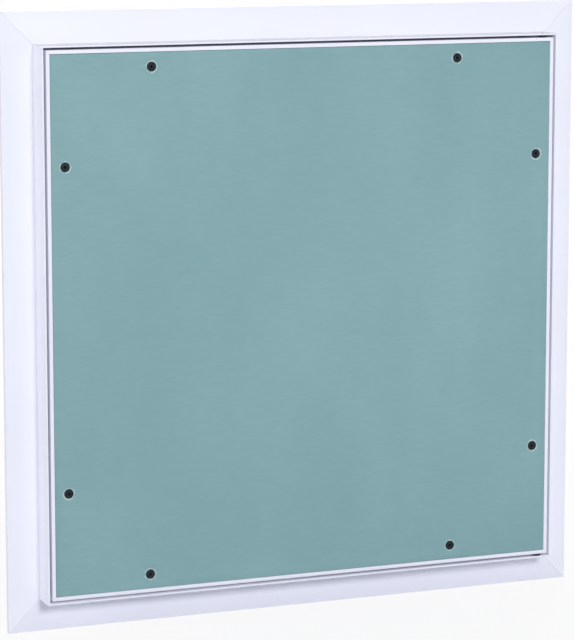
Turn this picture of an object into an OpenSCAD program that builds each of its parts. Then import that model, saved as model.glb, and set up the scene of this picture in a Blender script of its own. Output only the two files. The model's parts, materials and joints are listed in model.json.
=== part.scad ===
// Access panel for a ceiling or wall: a flanged aluminium frame and a pivoting leaf with a gypsum board.
// Upright as displayed: X to the right, Y to the back, Z up, all in millimetres.
// The origin is the centre of the opening, in the plane of the flange's front face.

/* [Frame] */
// Clear width between the rim's inner faces
opening_width = 450; // [420:10:700]
// Clear height between the rim's inner faces
opening_height = 450; // [420:10:700]
// Thickness of the rim wall
rim_wall = 1.5; // [1.2:0.1:2]
// How far the rim stands in front of the flange
rim_rise = 25; // [24:0.5:30]
// How far the frame reaches behind the flange's front face
rear_depth = 20; // [20:1:24]
// Reach of the flange outwards from the opening
flange_reach = 28; // [24:1:40]
// Thickness of the flange and of its turned-back edge
flange_wall = 1.5; // [1.2:0.1:2]
// Depth of the flange's turned-back outer edge
edge_return = 5; // [4:0.5:8]
// Width of the ledge that carries the seal
ledge_reach = 10; // [9:0.5:11]
// Thickness of the ledge
ledge_wall = 1.5; // [1.2:0.1:2]
// Diameter of the fixing holes in the rear wall
fixing_hole = 4.5; // [3.5:0.5:6]
// Distance between the two fixing holes of a side
fixing_pitch = 280; // [260:5:290]

/* [Leaf] */
// Gap between the leaf and the rim
leaf_gap = 2; // [1.9:0.1:2.5]
// Thickness of the leaf's edge as seen from the front
trim_wall = 3; // [2.8:0.1:3.5]
// Thickness of the gypsum board
board_thickness = 12.5; // [11:0.5:13]
// How far the board's face lies behind the leaf's front edge
board_recess = 0.5; // [0.2:0.1:0.8]
// Play between the board and the leaf's edge
board_play = 0.3; // [0.2:0.1:0.6]
// Width of the leg behind the board
leg_reach = 30; // [29:0.5:32]
// Thickness of the leg behind the board
leg_wall = 1.5; // [1.2:0.1:2]
// Distance of the board screws from the leaf's edge
screw_inset = 15; // [14:0.5:19]
// Distance of the top side's left screw from the leaf's corner
top_screw_left = 88; // [80:1:100]
// Distance of the top side's right screw from the leaf's corner
top_screw_right = 89; // [80:1:100]
// Distance of the bottom side's left screw from the leaf's corner
bottom_screw_left = 84; // [80:1:100]
// Distance of the bottom side's right screw from the leaf's corner
bottom_screw_right = 92; // [80:1:100]
// Distance of the left side's upper screw from the leaf's corner
left_screw_upper = 93; // [80:1:100]
// Distance of the left side's lower screw from the leaf's corner
left_screw_lower = 88; // [80:1:100]
// Distance of the right side's upper screw from the leaf's corner
right_screw_upper = 98; // [80:1:100]
// Distance of the right side's lower screw from the leaf's corner
right_screw_lower = 96; // [80:1:100]
// Head diameter of the board screws
screw_head = 8; // [7:0.5:9]
// Shank diameter of the board screws
screw_shank = 3.5; // [3:0.1:4]
// Length of the board screws
screw_length = 25; // [22:1:28]

/* [Pivot] */
// Distance of the pivot axis from the leaf's right edge
pivot_inset = 8; // [7.5:0.5:9]
// Depth of the pivot axis behind the leaf's front
pivot_depth = 5; // [4.5:0.5:5.5]
// Diameter of the pivot pins
pin_size = 4; // [3.5:0.1:4.2]
// Radial clearance between pin and bush
pin_play = 0.05; // [0.03:0.01:0.1]
// Outer diameter of the bushes in the leaf's edge
bush_size = 6; // [5.4:0.2:6.4]
// Diameter of the bush flanges and the pins' collars
collar_size = 8; // [7.2:0.2:8.6]

/* [Latch] */
// Distance between the two push latches
latch_pitch = 180; // [150:5:190]
// Distance of a latch's axis from the opening's left edge
latch_inset = 21; // [20.5:0.5:21.5]
// Diameter of the plunger
plunger_size = 9.4; // [8.6:0.2:9.8]
// Free play around the plunger
plunger_play = 0.3; // [0.2:0.1:0.4]
// Stroke by which the plunger springs out
plunger_stroke = 8; // [5:1:9]
// Width of the latch housing
housing_width = 16; // [15.5:0.5:17]
// Height of the latch housing
housing_height = 20; // [18:1:22]
// Thickness of the latch brackets
bracket_wall = 1.5; // [1.2:0.1:2]
// Distance between the housing's front and the magnet's strike plate
latch_stand_off = 6; // [5.5:0.5:7]

/* [Hidden] */

$fn = 64;
// Cutters reach this far past what they cut
past = 1;
white = [0.92, 0.93, 0.95];
steel = [0.62, 0.63, 0.65];
black = [0.05, 0.06, 0.07];

front_y = -rim_rise;
half_w = opening_width / 2;
half_h = opening_height / 2;
leaf_w = half_w - leaf_gap;
leaf_h = half_h - leaf_gap;

// Leaf profile, depths measured from the front
leg_front = board_recess + board_thickness;
leg_back = leg_front + leg_wall;
rib_wall = 1.5;
rib_outer = 8.5;
rib_rise = 3.5;
hook_reach = 1.5;
hook_wall = 1.2;
key_slack = 0.1;
channel_out = rib_outer + rib_wall;
channel_in = leg_reach - rib_wall;
leaf_key_wall = rib_rise - hook_wall - key_slack;
leaf_back_y = front_y + leg_back;

// Seal between the ledge and the leaf's back
seal_rise = 5.7;
seal_play = 0.3;
seal_edge = 0.8;
seal_back_edge = 0.7;
seal_width = ledge_reach - leaf_gap - seal_edge - seal_back_edge;
ledge_y = leaf_back_y + seal_play + seal_rise;

// Angle keys riveted to the outside of the frame's rear wall
key_wall = 2;
key_leg = 60;
key_rear_gap = 1.6;
frame_key_front = flange_wall + key_slack;
frame_key_back = rear_depth - key_rear_gap;
rivet_size = 3.2;
rivet_head = 6.4;
rivet_head_rise = 0.9;
rivet_slack = 0.05;
rivet_y = (frame_key_front + frame_key_back) / 2;
key_rivet_places = [22, 44];

pivot_x = leaf_w - pivot_inset;
pivot_y = front_y + pivot_depth;
collar_rise = leaf_gap * 0.38;
bush_flange = leaf_gap * 0.42;
fit_slack = 0.02;

// Latch places and lengths
latch_x = -half_w + latch_inset;
strike_wall = 1.5;
strike_back_y = leaf_back_y + strike_wall;
strike_length = 36;
magnet_play = 0.2;
housing_front_y = strike_back_y + latch_stand_off;
housing_end = 2;
housing_side = 1.5;
housing_bore = housing_width - 2 * housing_side;
collar_wall = 3;
collar_play = 0.3;
plunger_tip_y = strike_back_y + magnet_play;
stroke_spare = 1;
plunger_collar_y = housing_front_y + housing_end + plunger_stroke + stroke_spare;
spring_front_y = plunger_collar_y + collar_wall;
spring_length = 18;
spring_wire = 1;
spring_turns = 6;
spring_mean = 4;
cap_wall = 2;
cap_plug = 2;
cap_front_y = spring_front_y + spring_length;
housing_back_y = cap_front_y + cap_plug;
stem_size = 5;
stem_length = 12;
magnet_size = 7;
magnet_wall = 3;
bracket_ledge_gap = 2;
bracket_front_y = ledge_y + ledge_wall + bracket_ledge_gap;
bracket_rear_gap = 1.5;
bracket_back_y = rear_depth - bracket_rear_gap;
bracket_height = 46;
bracket_margin = 3;
bracket_reach = latch_inset + housing_width / 2 + bracket_margin;
ear_wall = 3;
ear_reach = 9;
ear_back_y = bracket_back_y - bracket_wall;
latch_screw_size = 3;
latch_screw_head = 5.5;
latch_screw_head_rise = 2;
latch_screw_tail = 3;
latch_screw_z = housing_height / 2 + ear_reach / 2;
bracket_rivet_z = 14;
bracket_rivet_y = (bracket_front_y + bracket_back_y - bracket_wall) / 2;

frame_top();
frame_bottom();
frame_left();
frame_right();
frame_corner_keys();
frame_key_rivets();
seal_top();
seal_bottom();
seal_left();
pivot_pin_top();
pivot_pin_bottom();
latch_bracket_upper();
latch_bracket_lower();
latch_bracket_rivets();
latch_housing_upper();
latch_housing_lower();
latch_cap_upper();
latch_cap_lower();
latch_screws();
latch_spring_upper();
latch_spring_lower();
latch_plunger_upper();
latch_plunger_lower();
latch_magnet_upper();
latch_magnet_lower();
leaf_top();
leaf_bottom();
leaf_left();
leaf_right();
leaf_corner_keys();
gypsum_board();
board_screws_top();
board_screws_bottom();
board_screws_left();
board_screws_right();
pivot_bush_top();
pivot_bush_bottom();
strike_plate_upper();
strike_plate_lower();

// A box from one corner to the opposite one
module box(from, to) {
    translate(from) cube(to - from);
}

// A flat rectangle from one corner to the opposite one
module patch(from, to) {
    translate(from) square(to - from);
}

// A round bar along Y from y0 to y1
module bar_y(x, z, size, y0, y1) {
    translate([x, y1, z]) rotate([90, 0, 0]) cylinder(d = size, h = y1 - y0);
}

// A round bar along Z from z0 to z1
module bar_z(x, y, size, z0, z1) {
    translate([x, y, z0]) cylinder(d = size, h = z1 - z0);
}

// Runs a profile along X on the upper side and cuts both ends to a mitre.
// The profile's x is the distance outwards from the edge at height off, its y is the depth.
module mitred_run(half_length, off, inner, outer) {
    intersection() {
        translate([0, 0, off])
            rotate([0, -90, 0])
                linear_extrude(height = 2 * (half_length + outer + past), center = true)
                    children();
        rotate([90, 0, 0])
            linear_extrude(height = 4 * (rim_rise + rear_depth), center = true)
                polygon([
                    [-half_length - inner, off + inner],
                    [half_length + inner, off + inner],
                    [half_length + outer, off + outer],
                    [-half_length - outer, off + outer]
                ]);
    }
}

module on_top() children();
module on_bottom() mirror([0, 0, 1]) children();
module on_right() rotate([0, 90, 0]) children();
module on_left() rotate([0, -90, 0]) children();

// Repeats what stands in the upper right corner in all four corners
module four_corners() {
    for (mx = [0, 1], mz = [0, 1])
        mirror([mx, 0, 0]) mirror([0, 0, mz]) children();
}

// Outer frame

module frame_profile() {
    patch([0, front_y], [rim_wall, rear_depth]);
    patch([0, 0], [flange_reach, flange_wall]);
    patch([flange_reach - flange_wall, 0], [flange_reach, edge_return]);
    patch([-ledge_reach, ledge_y], [rim_wall, ledge_y + ledge_wall]);
}

module frame_rail(half_length, off) {
    difference() {
        mitred_run(half_length, off, -ledge_reach - past, flange_reach + past) frame_profile();
        for (s = [-1, 1]) {
            bar_z(s * fixing_pitch / 2, rivet_y, fixing_hole, off - past, off + rim_wall + past);
            for (p = key_rivet_places)
                bar_z(s * (half_length - p), rivet_y, rivet_size + 2 * rivet_slack, off - past, off + rim_wall + past);
        }
    }
}

module pivot_hole_in_rim() {
    bar_z(pivot_x, pivot_y, pin_size + 2 * fit_slack, half_h - past, half_h + rim_wall + past);
}

module frame_top() {
    color(white) difference() {
        frame_rail(half_w, half_h);
        pivot_hole_in_rim();
    }
}

module frame_bottom() {
    color(white) on_bottom() difference() {
        frame_rail(half_w, half_h);
        pivot_hole_in_rim();
    }
}

module frame_right() {
    color(white) on_right() frame_rail(half_h, half_w);
}

module frame_left() {
    color(white) on_left() difference() {
        frame_rail(half_h, half_w);
        for (s = [-1, 1], t = [-1, 1])
            bar_z(s * latch_pitch / 2 + t * bracket_rivet_z, bracket_rivet_y, rivet_size + 2 * rivet_slack,
                half_w - past, half_w + rim_wall + past);
    }
}

module frame_key() {
    difference() {
        union() {
            box([half_w - key_leg, frame_key_front, half_h + rim_wall],
                [half_w + rim_wall + key_wall, frame_key_back, half_h + rim_wall + key_wall]);
            box([half_w + rim_wall, frame_key_front, half_h - key_leg],
                [half_w + rim_wall + key_wall, frame_key_back, half_h + rim_wall + key_wall]);
        }
        for (p = key_rivet_places) {
            bar_z(half_w - p, rivet_y, rivet_size + 2 * rivet_slack, half_h, half_h + rim_wall + key_wall + past);
            translate([half_w, rivet_y, half_h - p]) rotate([0, 90, 0])
                cylinder(d = rivet_size + 2 * rivet_slack, h = rim_wall + key_wall + past);
        }
    }
}

module frame_corner_keys() {
    color(steel) four_corners() frame_key();
}

// A blind rivet along Z whose head rests under the height given
module rivet_z(x, y, z, grip) {
    bar_z(x, y, rivet_head, z - rivet_head_rise, z);
    bar_z(x, y, rivet_size, z - rivet_head_rise / 2, z + grip);
}

module frame_key_rivets() {
    grip = rim_wall + key_wall;
    color(steel) four_corners()
        for (p = key_rivet_places) {
            rivet_z(half_w - p, rivet_y, half_h, grip);
            translate([half_w, rivet_y, half_h - p]) rotate([0, 90, 0]) rivet_z(0, 0, 0, grip);
        }
}

// Foam strip with a rounded front, glued on the ledge
module seal_profile() {
    round_r = seal_width / 2;
    seal_out = -leaf_gap - seal_edge;
    intersection() {
        patch([seal_out - seal_width, ledge_y - seal_rise], [seal_out, ledge_y]);
        union() {
            translate([seal_out - round_r, ledge_y - seal_rise + round_r]) circle(r = round_r);
            patch([seal_out - seal_width, ledge_y - seal_rise + round_r], [seal_out, ledge_y]);
        }
    }
}

seal_inner = -leaf_gap - seal_edge - seal_width;
// The strips at the top and bottom stop short of the arc that the leaf's back corner swings through
corner_depth = leg_back - pivot_depth;
seal_end_gap = 1;
seal_end = pivot_x - sqrt(pow(pivot_inset, 2) + pow(corner_depth, 2) - pow(corner_depth + seal_play, 2)) - seal_end_gap;

module seal_run(off, from, to) {
    translate([to, 0, off]) rotate([0, -90, 0]) linear_extrude(height = to - from) seal_profile();
}

module seal_top() {
    color(black) seal_run(half_h, -half_w + leaf_gap + seal_edge, seal_end);
}

module seal_bottom() {
    color(black) on_bottom() seal_run(half_h, -half_w + leaf_gap + seal_edge, seal_end);
}

module seal_left() {
    reach = half_h + seal_inner;
    color(black) on_left() seal_run(half_w, -reach, reach);
}

// Pivot

// Pin flush with the rim's outer face, its collar against the inner face
module pivot_pin() {
    bar_z(pivot_x, pivot_y, pin_size, leaf_h - trim_wall + fit_slack, half_h + rim_wall);
    bar_z(pivot_x, pivot_y, collar_size, half_h - collar_rise, half_h);
}

module pivot_pin_top() {
    color(black) pivot_pin();
}

module pivot_pin_bottom() {
    color(black) on_bottom() pivot_pin();
}

// Plastic bush pressed into the leaf's edge, its flange in the gap
module pivot_bush() {
    difference() {
        union() {
            bar_z(pivot_x, pivot_y, bush_size, leaf_h - trim_wall, leaf_h + bush_flange);
            bar_z(pivot_x, pivot_y, collar_size, leaf_h, leaf_h + bush_flange);
        }
        bar_z(pivot_x, pivot_y, pin_size + 2 * pin_play, leaf_h - trim_wall - past, leaf_h + bush_flange + past);
    }
}

module pivot_bush_top() {
    color(black) pivot_bush();
}

module pivot_bush_bottom() {
    color(black) on_bottom() pivot_bush();
}

// Leaf

module leaf_profile() {
    rib_back = front_y + leg_back + rib_rise;
    patch([-trim_wall, front_y], [0, leaf_back_y]);
    patch([-leg_reach, front_y + leg_front], [0, leaf_back_y]);
    patch([-channel_out, front_y + leg_front], [-rib_outer, rib_back]);
    patch([-channel_out - hook_reach, rib_back - hook_wall], [-rib_outer, rib_back]);
    patch([-leg_reach, front_y + leg_front], [-channel_in, rib_back]);
    patch([-leg_reach, rib_back - hook_wall], [-channel_in + hook_reach, rib_back]);
}

// One leaf rail, with the pilot holes of the board screws at the places given along it
module leaf_rail(half_length, off, places) {
    difference() {
        mitred_run(half_length, off, -leg_reach - past, past) leaf_profile();
        for (p = places)
            bar_y(p, off - screw_inset, screw_shank + 2 * rivet_slack, front_y + leg_front - past, leaf_back_y + past);
    }
}

module bush_hole_in_leaf() {
    bar_z(pivot_x, pivot_y, bush_size + 2 * fit_slack, leaf_h - trim_wall - past, leaf_h + past);
}

module leaf_top() {
    color(white) difference() {
        leaf_rail(leaf_w, leaf_h, top_screws);
        bush_hole_in_leaf();
    }
}

module leaf_bottom() {
    color(white) on_bottom() difference() {
        leaf_rail(leaf_w, leaf_h, bottom_screws);
        bush_hole_in_leaf();
    }
}

module leaf_right() {
    color(white) on_right() leaf_rail(leaf_h, leaf_w, -right_screws);
}

module leaf_left() {
    color(white) on_left() leaf_rail(leaf_h, leaf_w, left_screws);
}

// Flat angle plate pushed into the channels of two neighbouring rails
module leaf_key() {
    out_w = leaf_w - channel_out - key_slack;
    out_h = leaf_h - channel_out - key_slack;
    in_w = leaf_w - channel_in + key_slack;
    in_h = leaf_h - channel_in + key_slack;
    translate([0, leaf_back_y + leaf_key_wall, 0]) rotate([90, 0, 0]) linear_extrude(height = leaf_key_wall)
        polygon([
            [out_w, out_h],
            [leaf_w - key_leg - channel_out, out_h],
            [leaf_w - key_leg - channel_out, in_h],
            [in_w, in_h],
            [in_w, leaf_h - key_leg - channel_out],
            [out_w, leaf_h - key_leg - channel_out]
        ]);
}

module leaf_corner_keys() {
    color(steel) four_corners() leaf_key();
}

// Bugle head, shank and point, with the axis along Z and the head's face at zero
module screw_shape(grow) {
    neck = screw_head * 0.42;
    point = screw_shank * 1.6;
    rotate_extrude()
        polygon([
            [0, 0],
            [screw_head / 2 + grow, 0],
            [screw_head / 2 + grow, -screw_head * 0.04],
            [screw_head * 0.33 + grow, -neck * 0.45],
            [screw_head * 0.25 + grow, -neck * 0.75],
            [screw_shank / 2 + grow, -neck],
            [screw_shank / 2 + grow, -screw_length + point],
            [0, -screw_length]
        ]);
}

// Cross-shaped driver recess
module screw_recess() {
    slot = screw_head * 0.14;
    reach = screw_head * 0.29;
    depth = screw_head * 0.25;
    for (a = [0, 90])
        rotate([0, 0, a]) translate([0, slot / 2, 0]) rotate([90, 0, 0]) linear_extrude(height = slot)
            polygon([[-reach, past], [reach, past], [reach, 0], [reach * 0.3, -depth], [-reach * 0.3, -depth], [-reach, 0]]);
}

head_sink = 0.3;
screw_face_y = front_y + board_recess + head_sink;

// Places a screw shape so that it points to the back
module screw_place(x, z) {
    translate([x, screw_face_y, z]) rotate([90, 0, 0]) children();
}

module board_screw(x, z) {
    screw_place(x, z) difference() {
        screw_shape(0);
        screw_recess();
    }
}

module screw_seat(x, z) {
    screw_place(x, z) union() {
        screw_shape(rivet_slack);
        cylinder(d = screw_head + 2 * rivet_slack, h = head_sink + past);
    }
}

// Screw places along X on the top and bottom sides, and along Z on the left and right sides
top_screws = [-leaf_w + top_screw_left, leaf_w - top_screw_right];
bottom_screws = [-leaf_w + bottom_screw_left, leaf_w - bottom_screw_right];
left_screws = [leaf_h - left_screw_upper, -leaf_h + left_screw_lower];
right_screws = [leaf_h - right_screw_upper, -leaf_h + right_screw_lower];
row_x = leaf_w - screw_inset;
row_z = leaf_h - screw_inset;

module gypsum_board() {
    edge = trim_wall + board_play;
    color([0.45, 0.62, 0.64]) difference() {
        box([-leaf_w + edge, front_y + board_recess, -leaf_h + edge],
            [leaf_w - edge, front_y + leg_front, leaf_h - edge]);
        for (p = top_screws) screw_seat(p, row_z);
        for (p = bottom_screws) screw_seat(p, -row_z);
        for (p = left_screws) screw_seat(-row_x, p);
        for (p = right_screws) screw_seat(row_x, p);
    }
}

module board_screws_top() {
    color(black) for (p = top_screws) board_screw(p, row_z);
}

module board_screws_bottom() {
    color(black) for (p = bottom_screws) board_screw(p, -row_z);
}

module board_screws_left() {
    color(black) for (p = left_screws) board_screw(-row_x, p);
}

module board_screws_right() {
    color(black) for (p = right_screws) board_screw(row_x, p);
}

// Steel plate under the hooks of the left rail's channel
module strike_plate() {
    out = -leaf_w + channel_out + key_slack;
    in = -leaf_w + channel_in - key_slack;
    box([out, leaf_back_y, (latch_pitch - strike_length) / 2],
        [in, strike_back_y, (latch_pitch + strike_length) / 2]);
}

module strike_plate_upper() {
    color(steel) strike_plate();
}

module strike_plate_lower() {
    color(steel) on_bottom() strike_plate();
}

// Push latch, drawn at the upper place

latch_z = latch_pitch / 2;

// Angle plate riveted to the rear wall, with a window for the housing
module latch_bracket() {
    difference() {
        union() {
            box([-half_w, bracket_front_y, latch_z - bracket_height / 2],
                [-half_w + bracket_wall, bracket_back_y, latch_z + bracket_height / 2]);
            box([-half_w, ear_back_y, latch_z - bracket_height / 2],
                [-half_w + bracket_reach, bracket_back_y, latch_z + bracket_height / 2]);
        }
        box([latch_x - housing_width / 2 - key_slack, ear_back_y - past, latch_z - housing_height / 2 - key_slack],
            [latch_x + housing_width / 2 + key_slack, bracket_back_y + past, latch_z + housing_height / 2 + key_slack]);
        for (s = [-1, 1]) {
            bar_y(latch_x, latch_z + s * latch_screw_z, latch_screw_size + 2 * rivet_slack,
                ear_back_y - past, bracket_back_y + past);
            translate([-half_w - past, bracket_rivet_y, latch_z + s * bracket_rivet_z]) rotate([0, 90, 0])
                cylinder(d = rivet_size + 2 * rivet_slack, h = bracket_wall + 2 * past);
        }
    }
}

module latch_bracket_upper() {
    color(steel) latch_bracket();
}

module latch_bracket_lower() {
    color(steel) on_bottom() latch_bracket();
}

module latch_bracket_rivets() {
    grip = bracket_wall + rim_wall;
    color(steel) for (s = [-1, 1], t = [-1, 1])
        translate([-half_w + bracket_wall, bracket_rivet_y, s * latch_z + t * bracket_rivet_z])
            rotate([0, -90, 0]) rivet_z(0, 0, 0, grip);
}

module latch_housing() {
    difference() {
        union() {
            box([latch_x - housing_width / 2, housing_front_y, latch_z - housing_height / 2],
                [latch_x + housing_width / 2, housing_back_y, latch_z + housing_height / 2]);
            box([latch_x - housing_width / 2, ear_back_y - ear_wall, latch_z - housing_height / 2 - ear_reach],
                [latch_x + housing_width / 2, ear_back_y, latch_z + housing_height / 2 + ear_reach]);
        }
        bar_y(latch_x, latch_z, plunger_size + 2 * plunger_play, housing_front_y - past, housing_back_y);
        bar_y(latch_x, latch_z, housing_bore, housing_front_y + housing_end, housing_back_y + past);
        for (s = [-1, 1])
            bar_y(latch_x, latch_z + s * latch_screw_z, latch_screw_size + 2 * rivet_slack,
                ear_back_y - ear_wall - past, ear_back_y + past);
    }
}

module latch_housing_upper() {
    color(white) latch_housing();
}

module latch_housing_lower() {
    color(white) on_bottom() latch_housing();
}

module latch_cap() {
    box([latch_x - housing_width / 2, housing_back_y, latch_z - housing_height / 2],
        [latch_x + housing_width / 2, housing_back_y + cap_wall, latch_z + housing_height / 2]);
    bar_y(latch_x, latch_z, housing_bore - 2 * rivet_slack, cap_front_y, housing_back_y + cap_wall / 2);
}

module latch_cap_upper() {
    color(white) latch_cap();
}

module latch_cap_lower() {
    color(white) on_bottom() latch_cap();
}

module latch_screw(z) {
    head_back = ear_back_y - ear_wall;
    bar_y(latch_x, z, latch_screw_head, head_back - latch_screw_head_rise, head_back);
    bar_y(latch_x, z, latch_screw_size, head_back - latch_screw_head_rise / 2, bracket_back_y + latch_screw_tail);
}

module latch_screws() {
    color(steel) for (s = [-1, 1], t = [-1, 1]) latch_screw(s * latch_z + t * latch_screw_z);
}

// Coil drawn as the flat section of a round wire, turned along its axis
module latch_spring() {
    pitch = (spring_length - spring_wire) / spring_turns;
    half_arc = 180 * spring_wire / pitch;
    steps = 4;
    arc = [for (i = [-steps : steps]) i * half_arc / steps];
    swell = [for (i = [-steps : steps]) spring_wire / 2 * sqrt(max(0.02, 1 - pow(i / steps, 2)))];
    count = len(arc);
    rim = [for (i = [0 : count - 1]) (spring_mean + swell[i]) * [cos(arc[i]), sin(arc[i])]];
    hollow = [for (i = [count - 1 : -1 : 0]) (spring_mean - swell[i]) * [cos(arc[i]), sin(arc[i])]];
    translate([latch_x, cap_front_y, latch_z]) rotate([90, 0, 0])
        linear_extrude(height = spring_length, twist = -360 * spring_turns, slices = 12 * spring_turns, $fn = 12)
            polygon(concat(rim, hollow));
}

module latch_spring_upper() {
    color(steel) latch_spring();
}

module latch_spring_lower() {
    color(steel) on_bottom() latch_spring();
}

module latch_plunger() {
    difference() {
        union() {
            bar_y(latch_x, latch_z, plunger_size, plunger_tip_y, spring_front_y);
            bar_y(latch_x, latch_z, housing_bore - 2 * collar_play, plunger_collar_y, spring_front_y);
            bar_y(latch_x, latch_z, stem_size, plunger_collar_y, spring_front_y + stem_length);
        }
        bar_y(latch_x, latch_z, magnet_size + 2 * rivet_slack, plunger_tip_y - past, plunger_tip_y + magnet_wall);
    }
}

module latch_plunger_upper() {
    color(white) latch_plunger();
}

module latch_plunger_lower() {
    color(white) on_bottom() latch_plunger();
}

module latch_magnet() {
    bar_y(latch_x, latch_z, magnet_size, plunger_tip_y, plunger_tip_y + magnet_wall);
}

module latch_magnet_upper() {
    color(steel) latch_magnet();
}

module latch_magnet_lower() {
    color(steel) on_bottom() latch_magnet();
}
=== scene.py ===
# %% [markdown]
# # A flush access panel
# The panel is a square aluminium frame that is built into a ceiling or wall, and a leaf that opens out of
# it. The leaf carries a piece of green moisture-proof gypsum board, so that it can be painted over like the
# ceiling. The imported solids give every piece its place: X to the right, Y to the back, Z up.
# This lesson dresses them: rails with rounded edges and mitred corners, real screws, and a finish for each
# material.

# %% Load the frame
import json
import math

import bmesh
import bpy
from mathutils import Matrix, Vector


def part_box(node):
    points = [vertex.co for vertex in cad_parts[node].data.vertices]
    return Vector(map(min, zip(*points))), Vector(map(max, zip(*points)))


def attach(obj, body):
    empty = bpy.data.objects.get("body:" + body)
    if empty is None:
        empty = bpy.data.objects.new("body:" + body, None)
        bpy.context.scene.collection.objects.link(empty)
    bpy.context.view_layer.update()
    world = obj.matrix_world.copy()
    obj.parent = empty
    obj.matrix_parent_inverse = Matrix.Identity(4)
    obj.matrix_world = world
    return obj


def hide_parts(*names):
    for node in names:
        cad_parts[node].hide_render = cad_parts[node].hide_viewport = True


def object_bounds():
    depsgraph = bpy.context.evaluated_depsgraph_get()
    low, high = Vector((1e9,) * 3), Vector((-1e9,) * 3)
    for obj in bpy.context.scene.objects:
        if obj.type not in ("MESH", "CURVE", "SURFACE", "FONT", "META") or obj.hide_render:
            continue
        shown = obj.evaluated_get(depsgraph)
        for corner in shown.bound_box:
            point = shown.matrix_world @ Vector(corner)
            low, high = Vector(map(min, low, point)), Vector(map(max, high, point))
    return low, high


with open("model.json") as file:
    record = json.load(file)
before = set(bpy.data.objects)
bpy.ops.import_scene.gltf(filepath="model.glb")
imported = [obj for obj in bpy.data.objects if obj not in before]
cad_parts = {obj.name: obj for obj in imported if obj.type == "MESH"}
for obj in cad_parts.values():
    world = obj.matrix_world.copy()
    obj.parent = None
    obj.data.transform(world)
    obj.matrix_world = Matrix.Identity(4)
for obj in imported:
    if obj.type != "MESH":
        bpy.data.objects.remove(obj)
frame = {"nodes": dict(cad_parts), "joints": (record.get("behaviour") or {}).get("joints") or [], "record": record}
cad_box = [[float(value) for value in corner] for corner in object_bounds()]
nodes = frame["nodes"]
scene = bpy.context.scene

# %% [markdown]
# ## Places from the frame
# Meshes are in metres. Sizes are written in millimetres, as on a drawing, and the helpers turn one into the
# other. A piece goes where its solid is, so its place is read from the solid instead of being typed again.
# A node with several screws or rivets is one mesh of loose triangles. Once its doubles are merged, each screw
# is a connected island, and the middle of the island's box is the middle of the screw.

# %% Helpers that read the frame
MM = 0.001
SAME_POINT = 0.001


def in_mm(metres):
    return round(metres / MM, 3)


def place_at(x, y, z):
    return Vector((x * MM, y * MM, z * MM))


def joined_copy(node):
    """A copy of a solid's triangles, merged at their shared corners."""
    bm = bmesh.new()
    bm.from_mesh(nodes[node].data)
    bmesh.ops.remove_doubles(bm, verts=bm.verts, dist=SAME_POINT * MM)
    return bm


def solid_centres(node):
    """The middles of a node's solids in millimetres, from left to right and then from low to high."""
    bm = joined_copy(node)
    waiting = set(bm.verts)
    centres = []
    while waiting:
        island = [waiting.pop()]
        for corner in island:
            linked = {line.other_vert(corner) for line in corner.link_edges} & waiting
            waiting -= linked
            island += linked
        ranges = [(min(values), max(values)) for values in zip(*(corner.co for corner in island))]
        centres.append(tuple(in_mm((low + high) / 2) for low, high in ranges))
    bm.free()
    return sorted(centres, key=lambda centre: (centre[0], centre[2]))


print("sizes in millimetres, meshes in metres")

# %% [markdown]
# ## Camera
# The panel is seen from the front left and a little from above, with a long lens from well over two metres
# away. A long lens keeps the square nearly square. The upright edges run almost parallel in the picture,
# which is what a lens gives that is slid downwards instead of tilted, so a small downward shift is part of
# the camera. The angles are in radians.

# %% Camera
SENSOR_WIDTH = 36.0
LENS = 161.2
LENS_SHIFT = -0.05
CAMERA_PLACE = (-878.1, -2193.1, 376.4)
YAW = 0.3773
PITCH = -0.1505

camera_data = bpy.data.cameras.new("front_left_camera")
camera_data.sensor_width = SENSOR_WIDTH
camera_data.lens = LENS
camera_data.shift_y = LENS_SHIFT
camera = bpy.data.objects.new("front_left_camera", camera_data)
scene.collection.objects.link(camera)
forward = math.cos(PITCH)
look = Vector((math.sin(YAW) * forward, math.cos(YAW) * forward, math.sin(PITCH)))
camera.rotation_euler = look.to_track_quat("-Z", "Y").to_euler()
camera.location = Vector(CAMERA_PLACE) * MM
scene.camera = camera
print("camera", round(camera.location.length, 2), "m from the opening's centre")

# %% [markdown]
# ## Building blocks for finishes
# Every finish is a small node tree that reads Object coordinates. All the pieces sit at the origin and keep
# their place in their mesh, so one metre in a texture is one metre on the panel, and a pattern runs on from
# rail to rail. These helpers only save typing: each adds a node or two and gives back the socket to go on
# from. A noise lies mostly in its middle range, and spread stretches that to the range that is wanted.

# %% Helpers for node trees
NOISE_RANGE = (0.3, 0.7)


def plug(tree, value, socket):
    if isinstance(value, bpy.types.NodeSocket):
        tree.links.new(value, socket)
    elif socket.type == "RGBA":
        socket.default_value = (*value, 1.0)
    else:
        socket.default_value = value


def new_finish(name, roughness, metallic=0.0):
    material = bpy.data.materials.new(name)
    material.use_nodes = True
    tree = material.node_tree
    shader = tree.nodes["Principled BSDF"]
    shader.inputs["Roughness"].default_value = roughness
    shader.inputs["Metallic"].default_value = metallic
    place = tree.nodes.new("ShaderNodeTexCoord").outputs["Object"]
    return material, tree, shader, place


def noise(tree, place, per_metre, detail=2.0, stretch=(1.0, 1.0, 1.0)):
    mapping = tree.nodes.new("ShaderNodeMapping")
    mapping.inputs["Scale"].default_value = stretch
    tree.links.new(place, mapping.inputs["Vector"])
    texture = tree.nodes.new("ShaderNodeTexNoise")
    texture.inputs["Scale"].default_value = per_metre
    texture.inputs["Detail"].default_value = detail
    tree.links.new(mapping.outputs[0], texture.inputs["Vector"])
    return texture.outputs[0]


def cells(tree, place, per_metre):
    texture = tree.nodes.new("ShaderNodeTexVoronoi")
    texture.inputs["Scale"].default_value = per_metre
    tree.links.new(place, texture.inputs["Vector"])
    return texture


def calc(tree, operation, *values):
    node = tree.nodes.new("ShaderNodeMath")
    node.operation = operation
    for socket, value in zip(node.inputs, values):
        plug(tree, value, socket)
    return node.outputs[0]


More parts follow.
